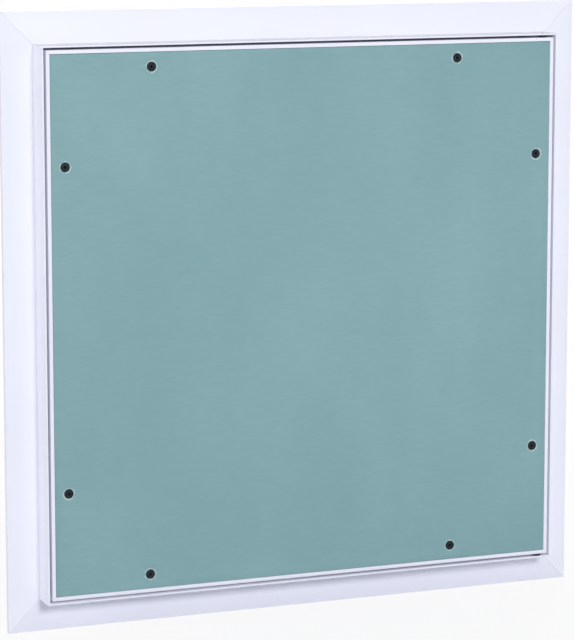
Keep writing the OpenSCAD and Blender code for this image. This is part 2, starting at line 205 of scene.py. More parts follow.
def spread(tree, value, low, high, new_low=0.0, new_high=1.0):
    node = tree.nodes.new("ShaderNodeMapRange")
    for socket, number in zip(node.inputs, (value, low, high, new_low, new_high)):
        plug(tree, number, socket)
    return node.outputs[0]


def mix(tree, factor, first, second):
    node = tree.nodes.new("ShaderNodeMix")
    node.data_type = "RGBA"
    plug(tree, factor, node.inputs[0])
    plug(tree, first, node.inputs[6])
    plug(tree, second, node.inputs[7])
    return node.outputs[2]


def raise_surface(tree, shader, height, most):
    """Bumps the surface by a height from 0 to 1, where 1 stands for so many millimetres."""
    node = tree.nodes.new("ShaderNodeBump")
    node.inputs["Distance"].default_value = most * MM
    tree.links.new(height, node.inputs["Height"])
    tree.links.new(node.outputs[0], shader.inputs["Normal"])


print("node helpers ready")


# %% Helpers for the background
def looked_at(tree):
    """1 for a ray from the camera, off gloss or through glass, and 0 for one that only brings light."""
    rays = tree.nodes.new("ShaderNodeLightPath").outputs
    beyond = calc(tree, "MAXIMUM", rays["Is Glossy Ray"], rays["Is Transmission Ray"])
    return calc(tree, "MAXIMUM", rays["Is Camera Ray"], beyond)


def choose(tree, factor, first, second, output):
    node = tree.nodes.new("ShaderNodeMixShader")
    for socket, value in zip(node.inputs, (factor, first, second)):
        plug(tree, value, socket)
    plug(tree, node.outputs[0], output.inputs["Surface"])


print("background helpers ready")

# %% [markdown]
# ## Light and background
# White powder coat shows its shape only through soft differences in brightness, so the light is large and
# soft: a main lamp in front and above, weaker ones overhead, on both sides and behind, and a white surround.
# The main lamp stands far away, so that the panel is as bright below as above, and high enough to lay a soft
# shadow on the lower flange, under the rim. The surround is weak, because it would fill that shadow.
# It is plain white where the camera or a reflection looks at it, and dimmer where it lights the panel, so
# that white paint stays just below pure white.

# %% Surround
WHITE = (1.0, 1.0, 1.0)
FILL_TINT = (0.90, 0.94, 1.0)
FILL_STRENGTH = 0.19


def surround(tree, tint, strength):
    node = tree.nodes.new("ShaderNodeBackground")
    plug(tree, tint, node.inputs["Color"])
    plug(tree, strength, node.inputs["Strength"])
    return node.outputs[0]


scene.view_settings.view_transform = "Standard"
scene.world = bpy.data.worlds.new("white_studio")
scene.world.use_nodes = True
sky = scene.world.node_tree
sky.nodes.clear()
choose(
    sky,
    looked_at(sky),
    surround(sky, FILL_TINT, FILL_STRENGTH),
    surround(sky, WHITE, 1.0),
    sky.nodes.new("ShaderNodeOutputWorld"),
)
print("surround lights at", FILL_STRENGTH, "and shows as white")

# %% Lamps
LAMPS = (
    {"name": "lamp_front", "place": (-0.1, -6.0, 2.5), "size": 1.3, "watts": 217.0},
    {"name": "lamp_above", "place": (0.0, 0.0, 2.6), "size": 1.6, "watts": 7.0},
    {"name": "lamp_left", "place": (-3.2, -0.1, 1.0), "size": 2.0, "watts": 41.0},
    {"name": "lamp_right", "place": (2.4, -2.4, 0.0), "size": 1.6, "watts": 18.0},
    {"name": "lamp_behind", "place": (1.2, 2.6, 1.8), "size": 2.0, "watts": 62.0},
)


def soft_lamp(name, place, size, watts):
    """A square lamp that looks at the opening's centre, with its place and size in metres."""
    lamp_data = bpy.data.lights.new(name, "AREA")
    lamp_data.shape = "SQUARE"
    lamp_data.size = size
    lamp_data.energy = watts
    lamp = bpy.data.objects.new(name, lamp_data)
    lamp.location = place
    lamp.rotation_euler = (-Vector(place)).to_track_quat("-Z", "Y").to_euler()
    scene.collection.objects.link(lamp)


for lamp in LAMPS:
    soft_lamp(**lamp)
print(len(LAMPS), "soft lamps")

# %% [markdown]
# ## White powder coat
# Extruded aluminium is coated with a plastic powder that melts in an oven. It ends up cool white and half
# glossy, with a faint waviness like orange peel about two millimetres across. A wide, slow noise varies the
# white a little, a finer one varies the gloss, and the waviness is a bump of a few hundredths of a
# millimetre.

# %% White powder coat
COAT_DIM = (0.824, 0.829, 0.925)
COAT_BRIGHT = (0.850, 0.855, 0.955)
COAT_GRAIN = (0.74, 0.755, 0.84)
GRAIN_SHARE = 0.10
COAT_ROUGHNESS = (0.34, 0.46)

white_coat, tree, shader, place = new_finish("white_powder_coat", roughness=0.4)
clouds = spread(tree, noise(tree, place, per_metre=9.0), *NOISE_RANGE)
grain = spread(tree, noise(tree, place, per_metre=1500.0), 0.3, 0.75, 0.0, GRAIN_SHARE)
gloss = noise(tree, place, per_metre=400.0)
peel = noise(tree, place, per_metre=520.0, detail=3.0)
tint = mix(tree, grain, mix(tree, clouds, COAT_DIM, COAT_BRIGHT), COAT_GRAIN)
plug(tree, tint, shader.inputs["Base Color"])
plug(tree, spread(tree, gloss, *NOISE_RANGE, *COAT_ROUGHNESS), shader.inputs["Roughness"])
raise_surface(tree, shader, peel, most=0.04)
print("white coat has", len(tree.nodes), "nodes")

# %% [markdown]
# ## Green gypsum board
# The board is plaster between two sheets of card. The front card is dyed green and is slightly cloudy, with
# short paper fibres that lie mostly one way. Around each screw the card is torn and pressed in, which leaves
# a pale ring. The finish tells front, core and back apart by depth, and finds the rings by the distance to
# the nearest screw.

# %% Places of the board screws
board_low, board_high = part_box("gypsum_board")
board_screws = {}
for node in sorted(nodes):
    if node.startswith("board_screws"):
        head_front = in_mm(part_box(node)[0].y)
        board_screws[node] = [place_at(x, head_front, z) for x, y, z in solid_centres(node)]
screw_places = [spot for pair in board_screws.values() for spot in pair]
print(len(screw_places), "board screws")

# %% Rings of torn card
RING_RAGGED = 4.0
RING_FULL = 6.2
RING_END = 7.2
FARTHER_THAN_ANY = 1.0

green_board, tree, shader, place = new_finish("green_gypsum_board", roughness=0.82)
parts = tree.nodes.new("ShaderNodeSeparateXYZ")
tree.links.new(place, parts.inputs[0])
flat = tree.nodes.new("ShaderNodeCombineXYZ")
tree.links.new(parts.outputs["X"], flat.inputs["X"])
tree.links.new(parts.outputs["Z"], flat.inputs["Z"])
nearest = FARTHER_THAN_ANY
for spot in screw_places:
    reach = tree.nodes.new("ShaderNodeVectorMath")
    reach.operation = "DISTANCE"
    tree.links.new(flat.outputs[0], reach.inputs[0])
    reach.inputs[1].default_value = (spot.x, 0.0, spot.z)
    nearest = calc(tree, "MINIMUM", nearest, reach.outputs["Value"])
fray = noise(tree, place, per_metre=300.0, detail=3.0)
ragged = calc(tree, "MULTIPLY_ADD", fray, RING_RAGGED * MM, nearest)
torn = spread(tree, ragged, RING_FULL * MM, RING_END * MM, 1.0, 0.0)
print("rings around", len(screw_places), "screws")

# %% Card and plaster
CARD_DIM = (0.210, 0.368, 0.388)
CARD_BRIGHT = (0.236, 0.402, 0.421)
CARD_FIBRE = (0.185, 0.33, 0.36)
CARD_FLECK = (0.33, 0.50, 0.52)
CARD_TORN = (0.55, 0.66, 0.67)
PLASTER_DIM = (0.60, 0.60, 0.58)
PLASTER_BRIGHT = (0.74, 0.735, 0.71)
BACK_DIM = (0.40, 0.37, 0.32)
BACK_BRIGHT = (0.54, 0.51, 0.45)
FIBRE_SHARE = 0.16
FLECK_SHARE = 0.22
TORN_SHARE = 0.75
TORN_HEIGHT = 1.5
BOARD_ROUGHNESS = (0.74, 0.9)
FRONT_CARD = (0.36, 0.44)
BACK_CARD = (0.3, 0.2)

clouds = noise(tree, place, per_metre=11.0, detail=4.0, stretch=(1.0, 1.0, 0.55))
fibres = noise(tree, place, per_metre=420.0, detail=5.0, stretch=(0.22, 1.0, 1.0))
flecks = noise(tree, place, per_metre=1300.0, detail=2.0, stretch=(0.5, 1.0, 1.0))
card = mix(tree, spread(tree, clouds, 0.32, 0.68), CARD_DIM, CARD_BRIGHT)
card = mix(tree, spread(tree, fibres, 0.35, 0.65, 0.0, FIBRE_SHARE), card, CARD_FIBRE)
fleck = spread(tree, flecks, 0.62, 0.74)
card = mix(tree, calc(tree, "MULTIPLY", fleck, FLECK_SHARE), card, CARD_FLECK)
card = mix(tree, calc(tree, "MULTIPLY", torn, TORN_SHARE), card, CARD_TORN)
plaster = mix(tree, noise(tree, place, per_metre=700.0, detail=4.0), PLASTER_DIM, PLASTER_BRIGHT)
back_card = mix(tree, fibres, BACK_DIM, BACK_BRIGHT)
depth = parts.outputs["Y"]
inside = spread(tree, depth, *(board_low.y + skin * MM for skin in FRONT_CARD))
behind = spread(tree, depth, *(board_high.y - skin * MM for skin in BACK_CARD))
layers = mix(tree, behind, mix(tree, inside, card, plaster), back_card)
plug(tree, layers, shader.inputs["Base Color"])
plug(tree, spread(tree, fibres, *NOISE_RANGE, *BOARD_ROUGHNESS), shader.inputs["Roughness"])
rough_card = calc(tree, "MULTIPLY_ADD", torn, TORN_HEIGHT, fibres)
raise_surface(tree, shader, rough_card, most=0.05)
print("green board has", len(tree.nodes), "nodes")

# %% [markdown]
# ## Steel, aluminium, plastic and foam
# Zinc-plated steel has faint crystal patches, bare aluminium a drawn grain, and the black screws a matt
# phosphate skin that is rubbed bright in specks. The moulded plastics are plain with a fine eroded surface,
# and the foam seal is dark with small closed cells. Each tree varies colour and roughness, and adds a bump of
# the right size.

# %% Zinc-plated steel
ZINC_DIM = (0.43, 0.445, 0.46)
ZINC_BRIGHT = (0.50, 0.51, 0.52)
ZINC_WARM = (0.46, 0.465, 0.45)
ZINC_ROUGHNESS = (0.32, 0.40)

zinc_steel, tree, shader, place = new_finish("zinc_plated_steel", roughness=0.36, metallic=1.0)
crystals = tree.nodes.new("ShaderNodeSeparateColor")
tree.links.new(cells(tree, place, per_metre=260.0).outputs["Color"], crystals.inputs[0])
shade = spread(tree, noise(tree, place, per_metre=60.0, detail=3.0), *NOISE_RANGE)
tone = mix(tree, crystals.outputs[0], ZINC_DIM, ZINC_BRIGHT)
plug(tree, mix(tree, shade, tone, ZINC_WARM), shader.inputs["Base Color"])
plug(tree, spread(tree, crystals.outputs[1], 0.0, 1.0, *ZINC_ROUGHNESS), shader.inputs["Roughness"])
raise_surface(tree, shader, noise(tree, place, per_metre=2600.0), most=0.008)
print("zinc has", len(tree.nodes), "nodes")

# %% Bare aluminium
ALUMINIUM_DIM = (0.50, 0.51, 0.52)
ALUMINIUM_BRIGHT = (0.66, 0.665, 0.67)
ALUMINIUM_ROUGHNESS = (0.26, 0.42)

bare_aluminium, tree, shader, place = new_finish("bare_aluminium", roughness=0.34, metallic=1.0)
drawn = noise(tree, place, per_metre=1800.0, detail=3.0, stretch=(1.0, 0.15, 1.0))
plug(tree, mix(tree, drawn, ALUMINIUM_DIM, ALUMINIUM_BRIGHT), shader.inputs["Base Color"])
plug(tree, spread(tree, drawn, *NOISE_RANGE, *ALUMINIUM_ROUGHNESS), shader.inputs["Roughness"])
raise_surface(tree, shader, drawn, most=0.01)
print("aluminium has", len(tree.nodes), "nodes")

# %% Black phosphate
PHOSPHATE = (0.003, 0.007, 0.011)
PHOSPHATE_RUBBED = (0.040, 0.055, 0.070)
PHOSPHATE_ROUGHNESS = (0.66, 0.42)
PHOSPHATE_SPECULAR = 0.22

black_phosphate, tree, shader, place = new_finish("black_phosphate", roughness=0.6)
shader.inputs["Specular IOR Level"].default_value = PHOSPHATE_SPECULAR
rubbed = spread(tree, noise(tree, place, per_metre=1100.0, detail=4.0), 0.54, 0.68)
plug(tree, mix(tree, rubbed, PHOSPHATE, PHOSPHATE_RUBBED), shader.inputs["Base Color"])
plug(tree, spread(tree, rubbed, 0.0, 1.0, *PHOSPHATE_ROUGHNESS), shader.inputs["Roughness"])
raise_surface(tree, shader, noise(tree, place, per_metre=3000.0), most=0.01)
print("phosphate has", len(tree.nodes), "nodes")

# %% Plastics
MOULDING_DIM = (0.68, 0.68, 0.65)
MOULDING_BRIGHT = (0.73, 0.73, 0.70)
MOULDING_ROUGHNESS = (0.36, 0.48)
BUSH_DIM = (0.012, 0.012, 0.013)
BUSH_BRIGHT = (0.028, 0.028, 0.030)
BUSH_ROUGHNESS = (0.38, 0.52)

white_plastic, tree, shader, place = new_finish("white_plastic", roughness=0.42)
eroded = noise(tree, place, per_metre=2200.0)
clouds = noise(tree, place, per_metre=40.0)
plug(tree, mix(tree, clouds, MOULDING_DIM, MOULDING_BRIGHT), shader.inputs["Base Color"])
plug(tree, spread(tree, eroded, *NOISE_RANGE, *MOULDING_ROUGHNESS), shader.inputs["Roughness"])
raise_surface(tree, shader, eroded, most=0.015)

black_plastic, tree, shader, place = new_finish("black_plastic", roughness=0.45)
eroded = noise(tree, place, per_metre=2200.0)
plug(tree, mix(tree, eroded, BUSH_DIM, BUSH_BRIGHT), shader.inputs["Base Color"])
plug(tree, spread(tree, eroded, *NOISE_RANGE, *BUSH_ROUGHNESS), shader.inputs["Roughness"])
raise_surface(tree, shader, eroded, most=0.01)
print("two plastics")

# %% Foam
FOAM_DIM = (0.016, 0.016, 0.018)
FOAM_BRIGHT = (0.050, 0.050, 0.053)
FOAM_ROUGHNESS = (0.96, 0.82)

seal_foam, tree, shader, place = new_finish("closed_cell_foam", roughness=0.92)
bubbles = cells(tree, place, per_metre=1700.0).outputs["Distance"]
plug(tree, mix(tree, bubbles, FOAM_DIM, FOAM_BRIGHT), shader.inputs["Base Color"])
plug(tree, spread(tree, bubbles, 0.1, 0.7, *FOAM_ROUGHNESS), shader.inputs["Roughness"])
raise_surface(tree, shader, bubbles, most=0.12)
print("foam has", len(tree.nodes), "nodes")

# %% [markdown]
# ## From a bmesh to a piece of the panel
# The record gives each solid a material slot, and each slot has its finish. A finished mesh gets its normals,
# its finish and smooth shading up to thirty degrees, rides on its body, and stands for the solids it was made
# from. A boolean cut is done once on a scratch object and then kept as a mesh, so that no modifier stays on
# the piece.

# %% Helpers for pieces
FINISHES = {
    "white_coat": white_coat,
    "green_board": green_board,
    "black_screw": black_phosphate,
    "zinc_steel": zinc_steel,
    "bare_aluminium": bare_aluminium,
    "white_plastic": white_plastic,
}
SMOOTH_BELOW = math.radians(30)


def as_mesh(bm, name):
    mesh = bpy.data.meshes.new(name)
    bm.to_mesh(mesh)
    bm.free()
    return mesh


def as_object(bm, name):
    piece = bpy.data.objects.new(name, as_mesh(bm, name))
    scene.collection.objects.link(piece)
    return piece


def make_piece(bm, name, body, stands_for, slot):
    bmesh.ops.recalc_face_normals(bm, faces=bm.faces)
    piece = as_object(bm, name)
    piece.data.materials.append(FINISHES[slot])
    piece.data.shade_smooth()
    piece.data.set_sharp_from_angle(angle=SMOOTH_BELOW)
    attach(piece, body)
    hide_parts(stands_for)
    print(piece.name, len(piece.data.polygons), "faces")


print(len(FINISHES), "finishes for new pieces")

# %% Helpers for shaping and cutting
SLIVER = 0.001
DRILL_SIDES = 40


def cut_away(bm, tool_bm):
    blank = as_object(bm, "blank")
    tool = as_object(tool_bm, "tool")
    cut = blank.modifiers.new("cut", "BOOLEAN")
    cut.operation = "DIFFERENCE"
    cut.solver = "EXACT"
    cut.object = tool
    cut.use_self = True
    evaluated = blank.evaluated_get(bpy.context.evaluated_depsgraph_get())
    result = bpy.data.meshes.new_from_object(evaluated)
    cut_bm = bmesh.new()
    cut_bm.from_mesh(result)
    bmesh.ops.dissolve_degenerate(cut_bm, dist=SLIVER * MM, edges=cut_bm.edges)
    for scratch in (blank, tool):
        mesh = scratch.data
        bpy.data.objects.remove(scratch)
        bpy.data.meshes.remove(mesh)
    bpy.data.meshes.remove(result)
    return cut_bm


def round_edges(bm, edges, rounding):
    bmesh.ops.bevel(bm, geom=edges, offset=rounding * MM, offset_type="OFFSET", segments=2, profile=0.5,
                    affect="EDGES", clamp_overlap=True, material=-1)


def add_block(bm, low, high):
    """Adds a box between two corners in metres."""
    block = bmesh.ops.create_cube(bm, size=1.0)["verts"]
    bmesh.ops.scale(bm, vec=high - low, verts=block)
    bmesh.ops.translate(bm, vec=(low + high) / 2, verts=block)


def add_drill(bm, centre, size, length, turn=Matrix()):
    """Adds a round bar along Z, or turned. The centre is in metres, size and length are in millimetres."""
    radius = size / 2 * MM
    bmesh.ops.create_cone(bm, cap_ends=True, segments=DRILL_SIDES, radius1=radius, radius2=radius,
                          depth=length * MM, matrix=Matrix.Translation(centre) @ turn)


print("cut, bevel, block and drill ready")

# %% [markdown]
# ## Mitred rails
# Both the frame and the leaf are made of extruded bars cut at 45 degrees. A bar is drawn the way it is made:
# its cross-section is a single face, which is extruded along X and given slightly rounded long edges. Two
# bisecting planes then saw the ends off, a few hundredths short of the corner, so that a hairline shows at
# each mitre. Every rail is made on the upper side and then turned to its own.

# %% Helpers for rails
BAR_REACH = 300.0
ON_PLANE = 0.0001
SIDE_TURN = {"top": 0.0, "right": 90.0, "bottom": 180.0, "left": -90.0}
PIVOT_SIDES = {"top": 1, "bottom": -1}


def mitred_rail(section, edge, rounding, saw_gap):
    """A bar on the upper side. The section lists (outwards from the edge, depth), in millimetres."""
    bm = bmesh.new()
    corners = [bm.verts.new(place_at(-BAR_REACH, depth, edge + out)) for out, depth in section]
    pulled = bmesh.ops.extrude_face_region(bm, geom=[bm.faces.new(corners)])
    far_end = [part for part in pulled["geom"] if isinstance(part, bmesh.types.BMVert)]
    bmesh.ops.translate(bm, verts=far_end, vec=place_at(2 * BAR_REACH, 0, 0))
    bmesh.ops.recalc_face_normals(bm, faces=bm.faces)
    round_edges(bm, [line for line in bm.edges if line.calc_length() > BAR_REACH * MM], rounding)
    for end in (1, -1):
        everything = bm.verts[:] + bm.edges[:] + bm.faces[:]
        sawn = bmesh.ops.bisect_plane(bm, geom=everything, dist=ON_PLANE * MM, clear_outer=True,
                                      plane_co=place_at(-end * saw_gap, 0, 0), plane_no=(end, 0, -1))
        loop = [part for part in sawn["geom_cut"] if isinstance(part, bmesh.types.BMEdge)]
        bmesh.ops.edgeloop_fill(bm, edges=loop)
    bmesh.ops.recalc_face_normals(bm, faces=bm.faces)
    return bm


def turn_to(side):
    return Matrix.Rotation(math.radians(SIDE_TURN[side]), 4, "Y")


def turn_mesh(bm, side):
    bmesh.ops.transform(bm, matrix=turn_to(side), verts=bm.verts)


print("rails for", ", ".join(SIDE_TURN))

# %% [markdown]
# ## Frame
# Seen from the end, a frame rail is a wall with a flange on its outside, which lies behind the ceiling
# boards, and a narrow ledge on its inside, which carries the seal. The wall has holes for fixing screws and
# rivets, and the top and bottom rails also have one for a pivot pin.

# %% Section of the frame rails
RIM_WALL = 1.5
FLANGE_WALL = 1.5
EDGE_RETURN = 5.0
LEDGE_REACH = 10.0
LEDGE_FRONT = -4.5
LEDGE_BACK = -3.0

rail_low, rail_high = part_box("frame_top")
opening = in_mm(rail_low.z) + LEDGE_REACH
rim_front = in_mm(rail_low.y)
wall_back = in_mm(rail_high.y)
flange_reach = in_mm(rail_high.z) - opening
frame_section = [
    (0, rim_front),
    (RIM_WALL, rim_front),
    (RIM_WALL, 0),
    (flange_reach, 0),
    (flange_reach, EDGE_RETURN),
    (flange_reach - FLANGE_WALL, EDGE_RETURN),
    (flange_reach - FLANGE_WALL, FLANGE_WALL),
    (RIM_WALL, FLANGE_WALL),
    (RIM_WALL, wall_back),
    (0, wall_back),
    (0, LEDGE_BACK),
    (-LEDGE_REACH, LEDGE_BACK),
    (-LEDGE_REACH, LEDGE_FRONT),
    (0, LEDGE_FRONT),
]
print("opening", 2 * opening, "mm, flange", flange_reach, "mm")

# %% Holes in the frame rails
RIVET_HOLE = 3.3
PIN_HOLE = 4.04

key_rivets = [(x, y) for x, y, z in solid_centres("frame_key_rivets") if z > opening]
bracket_rivets = [(z, y) for x, y, z in solid_centres("latch_bracket_rivets")]
mounts = {mount["name"]: mount for mount in frame["record"]["mounts"]}
fixing = mounts["fixing_holes_top"]
fixing_depth = in_mm(fixing["pos_m"][1])
fixing_reach = fixing["dims"]["spacing_x_mm"] / 2
fixing_hole = 2 * fixing["dims"]["hole_r_mm"]
wall_holes = [(along, depth, RIVET_HOLE) for along, depth in key_rivets]
wall_holes += [(end * fixing_reach, fixing_depth, fixing_hole) for end in (-1, 1)]
bracket_holes = [(along, depth, RIVET_HOLE) for along, depth in bracket_rivets]
joints = {joint["name"]: joint for joint in frame["joints"]}
pivot_x, pivot_y = (in_mm(value) for value in joints["leaf_pivot"]["pos_m"][:2])
print(len(wall_holes), "holes in each wall,", len(bracket_holes), "more on the left")

# %% Frame rails
FRAME_ROUNDING = 0.35
FRAME_SAW_GAP = 0.07
WALL_DRILL = 6.0

for side in SIDE_TURN:
    bm = mitred_rail(frame_section, opening, FRAME_ROUNDING, FRAME_SAW_GAP)
    turn_mesh(bm, side)
    drills = bmesh.new()
    for along, depth, size in sorted(wall_holes) + (bracket_holes if side == "left" else []):
        add_drill(drills, place_at(along, depth, opening), size, WALL_DRILL)
    turn_mesh(drills, side)
    if side in PIVOT_SIDES:
        add_drill(drills, place_at(pivot_x, pivot_y, PIVOT_SIDES[side] * opening), PIN_HOLE, WALL_DRILL)
    make_piece(cut_away(bm, drills), "frame_rail_" + side, "frame", "frame_" + side, "white_coat")

# %% [markdown]
# ## Leaf
# A leaf rail is an angle: a thick edge that shows around the board, and a leg behind the board that the
# screws bite into. Two hooked ribs on the leg make the channel for the flat corner keys and the strike
# plates.

# %% Section of the leaf rails
EDGE_WALL = 3.0
LEG_WALL = 1.5
FIRST_RIB = 8.5
RIB_WALL = 1.5
HOOK_LIP = 1.5
HOOK_WALL = 1.2

rail_low, rail_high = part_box("leaf_top")
leaf_edge = in_mm(rail_high.z)
leaf_front = in_mm(rail_low.y)
rib_back = in_mm(rail_high.y)
hook_front = rib_back - HOOK_WALL
leg_reach = leaf_edge - in_mm(rail_low.z)
leg_front = in_mm(board_high.y)
leg_back = leg_front + LEG_WALL
first_inside = FIRST_RIB + RIB_WALL
last_inside = leg_reach - RIB_WALL
leaf_section = [
    (0, leaf_front),
    (0, leg_back),
    (-FIRST_RIB, leg_back),
    (-FIRST_RIB, rib_back),
    (-first_inside - HOOK_LIP, rib_back),
    (-first_inside - HOOK_LIP, hook_front),
    (-first_inside, hook_front),
    (-first_inside, leg_back),
    (-last_inside, leg_back),
    (-last_inside, hook_front),
    (-last_inside + HOOK_LIP, hook_front),
    (-last_inside + HOOK_LIP, rib_back),
    (-leg_reach, rib_back),
    (-leg_reach, leg_front),
    (-EDGE_WALL, leg_front),
    (-EDGE_WALL, leaf_front),
]
print("leaf", 2 * leaf_edge, "mm, leg", leg_reach, "mm")

# %% Leaf rails
LEAF_ROUNDING = 0.3
LEAF_SAW_GAP = 0.05
SCREW_HOLE = 3.6
LEG_DRILL = 6.0
LEG_DRILL_BEHIND = 1.0
BUSH_HOLE = 6.04
BUSH_DRILL = 12.0
POINT_BACK = Matrix.Rotation(math.pi / 2, 4, "X")

for side in SIDE_TURN:
    bm = mitred_rail(leaf_section, leaf_edge, LEAF_ROUNDING, LEAF_SAW_GAP)
    turn_mesh(bm, side)
    drills = bmesh.new()
    for spot in board_screws["board_screws_" + side]:
        centre = Vector((spot.x, (leg_front + LEG_DRILL_BEHIND) * MM, spot.z))
        add_drill(drills, centre, SCREW_HOLE, LEG_DRILL, POINT_BACK)
    if side in PIVOT_SIDES:
        centre = place_at(pivot_x, pivot_y, PIVOT_SIDES[side] * leaf_edge)
        add_drill(drills, centre, BUSH_HOLE, BUSH_DRILL)
    make_piece(cut_away(bm, drills), "leaf_rail_" + side, "leaf", "leaf_" + side, "white_coat")

# %% [markdown]
# ## Seals, bushes, pins and magnets
# Some solids already have the shape of the real thing. They stay as they are and only get their finish, which
# goes into the material slots of their objects.


# %% Finish for the solids that stay
def paint(finish, *kept_nodes):
    for node in kept_nodes:
        for slot in nodes[node].material_slots:
            slot.material = finish
    print(finish.name, "on", ", ".join(kept_nodes))


paint(seal_foam, "seal_top", "seal_bottom", "seal_left")
paint(black_plastic, "pivot_bush_top", "pivot_bush_bottom")
paint(black_phosphate, "pivot_pin_top", "pivot_pin_bottom")
paint(zinc_steel, "latch_magnet_upper", "latch_magnet_lower")

# %% [markdown]
# ## Screws and rivets
# Anything turned on a lathe is made by spinning half of its outline once around an axis. A thread is the same
# spin with a small step along the axis each time. The cross for the driver is cut with two crossed, tapering
# bars. Board screws are driven by hand, so each one is turned to its own angle.

# %% Helpers for turned pieces
FULL_TURN = 2 * math.pi
AXIS = (0, 0, 1)
ORIGIN = (0, 0, 0)
SAME_CORNER = 0.0001
CROSS_TAPER = (0.25, 0.6, 1.0)


def lathe(outline, steps):
    """Turns an outline, listed as (radius, height) in millimetres."""
    bm = bmesh.new()
    points = [bm.verts.new(place_at(radius, 0, height)) for radius, height in outline]
    lines = [bm.edges.new(pair) for pair in zip(points, points[1:])]
    bmesh.ops.spin(bm, geom=points + lines, cent=ORIGIN, axis=AXIS, angle=FULL_TURN, steps=steps,
                   use_merge=True)
    bmesh.ops.remove_doubles(bm, verts=bm.verts, dist=SAME_CORNER * MM)
    bmesh.ops.recalc_face_normals(bm, faces=bm.faces)
    return bm


def wind(bm, section, turns, rise, steps):
    """Winds a section, listed as (radius, height) in millimetres, into a helix with closed ends."""
    loop = bm.faces.new([bm.verts.new(place_at(radius, 0, height)) for radius, height in section])
    bmesh.ops.spin(bm, geom=loop.verts[:] + loop.edges[:] + [loop], cent=ORIGIN, axis=AXIS,
                   dvec=place_at(0, 0, rise / steps), angle=FULL_TURN * turns, steps=steps * turns)


def driver_cross(reach, slot, depth):
    bm = bmesh.new()
    for turn in (0.0, math.pi / 2):
        bar = bmesh.ops.create_cube(bm, size=1.0)["verts"]
        bmesh.ops.scale(bm, vec=place_at(2 * reach, slot, 2 * depth), verts=bar)
        tip = [corner for corner in bar if corner.co.z < 0]
        bmesh.ops.scale(bm, vec=CROSS_TAPER, verts=tip)
        bmesh.ops.rotate(bm, verts=bar, cent=ORIGIN, matrix=Matrix.Rotation(turn, 3, "Z"))
    return bm


def add_copy(bm, shape, matrix):
    """Adds a copy of a finished mesh to a bmesh, moved and turned by the matrix."""
    before = len(bm.verts)
    bm.from_mesh(shape)
    bm.verts.ensure_lookup_table()
    bmesh.ops.transform(bm, matrix=matrix, verts=bm.verts[before:])


print("lathe, thread and driver cross ready")

# %% Shape of a board screw
HEAD_RADIUS = 4.0
CORE_RADIUS = 1.25
SCREW_STEPS = 48
THREAD_ROOT = 1.1
THREAD_CREST = 1.72
THREAD_START = -20.6
THREAD_WIDTH = 0.9
THREAD_TURNS = 10
THREAD_RISE = 1.5
THREAD_STEPS = 20

screw_low, screw_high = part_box("board_screws_top")
point = in_mm(screw_low.y - screw_high.y)
bugle = [
    (0, 0),
    (3.7, 0),
    (3.95, -0.1),
    (HEAD_RADIUS, -0.26),
    (3.85, -0.45),
    (3.2, -0.95),
    (2.6, -1.55),
    (2.1, -2.2),
    (1.7, -3.0),
    (1.4, -3.7),
    (CORE_RADIUS, -4.4),
    (CORE_RADIUS, point + 5.4),
    (0.7, point + 2.6),
    (0.06, point + 0.05),
    (0, point),
]
thread = [
    (THREAD_ROOT, THREAD_START),
    (THREAD_CREST, THREAD_START + THREAD_WIDTH / 2),
    (THREAD_ROOT, THREAD_START + THREAD_WIDTH),
]
bm = cut_away(lathe(bugle, SCREW_STEPS), driver_cross(reach=2.3, slot=1.05, depth=2.1))
wind(bm, thread, THREAD_TURNS, THREAD_RISE, THREAD_STEPS)
board_screw = as_mesh(bm, "board_screw_shape")
print("a board screw is", -point, "mm long")

# %% Board screws
HAND_TURNS = (12, 51, -8, 33, 70, 24, 5, 41)

hand_turns = iter(HAND_TURNS)
for node, pair in board_screws.items():
    bm = bmesh.new()
    for spot in pair:
        twist = Matrix.Rotation(math.radians(next(hand_turns)), 4, "Z")
        add_copy(bm, board_screw, Matrix.Translation(spot) @ POINT_BACK @ twist)
    make_piece(bm, node.replace("board_screws", "bugle_screws"), "leaf", node, "black_screw")

# %% Rivets
RIVET_RADIUS = 1.6
RIVET_STEPS = 40
TAIL_ROUNDING = 0.2
KEY_RIVET_LENGTH = 3.5
BRACKET_RIVET_LENGTH = 3.0
BRACKET_SHEET = 1.5


def rivet(length, name):
    outline = [
        (0, -0.55),
        (0.85, -0.55),
        (1.0, -0.9),
        (1.9, -0.84),
        (2.7, -0.55),
        (3.15, -0.15),
        (3.2, 0),
        (RIVET_RADIUS, 0),
        (RIVET_RADIUS, length - TAIL_ROUNDING),
        (RIVET_RADIUS - TAIL_ROUNDING, length),
        (0, length),
    ]
    return as_mesh(lathe(outline, RIVET_STEPS), name)


key_rivet = rivet(KEY_RIVET_LENGTH, "key_rivet_shape")
bm = bmesh.new()
for side in SIDE_TURN:
    for along, depth in key_rivets:
        add_copy(bm, key_rivet, turn_to(side) @ Matrix.Translation(place_at(along, depth, opening)))
make_piece(bm, "key_rivets", "frame", "frame_key_rivets", "zinc_steel")

bracket_rivet = rivet(BRACKET_RIVET_LENGTH, "bracket_rivet_shape")
bm = bmesh.new()
for along, depth in bracket_rivets:
    sheet_face = place_at(along, depth, opening - BRACKET_SHEET)
    add_copy(bm, bracket_rivet, turn_to("left") @ Matrix.Translation(sheet_face))
make_piece(bm, "bracket_rivets", "frame", "latch_bracket_rivets", "zinc_steel")

# %% [markdown]
# ## Board
# The board is a slab cut to size with a knife, so its edges are only slightly broken. Driving a screw presses
# the card into a shallow dish around the head. The dish and the screw hole are one more turned shape, which
# is cut out of the slab at each screw, with the head a little below the face.

# %% Board with screw seats
BOARD_ROUNDING = 0.3
SEAT_STEPS = 56
SHANK_HOLE_RADIUS = 1.8
SEAT_ABOVE = 1.0
SEAT_BELOW = -27.0

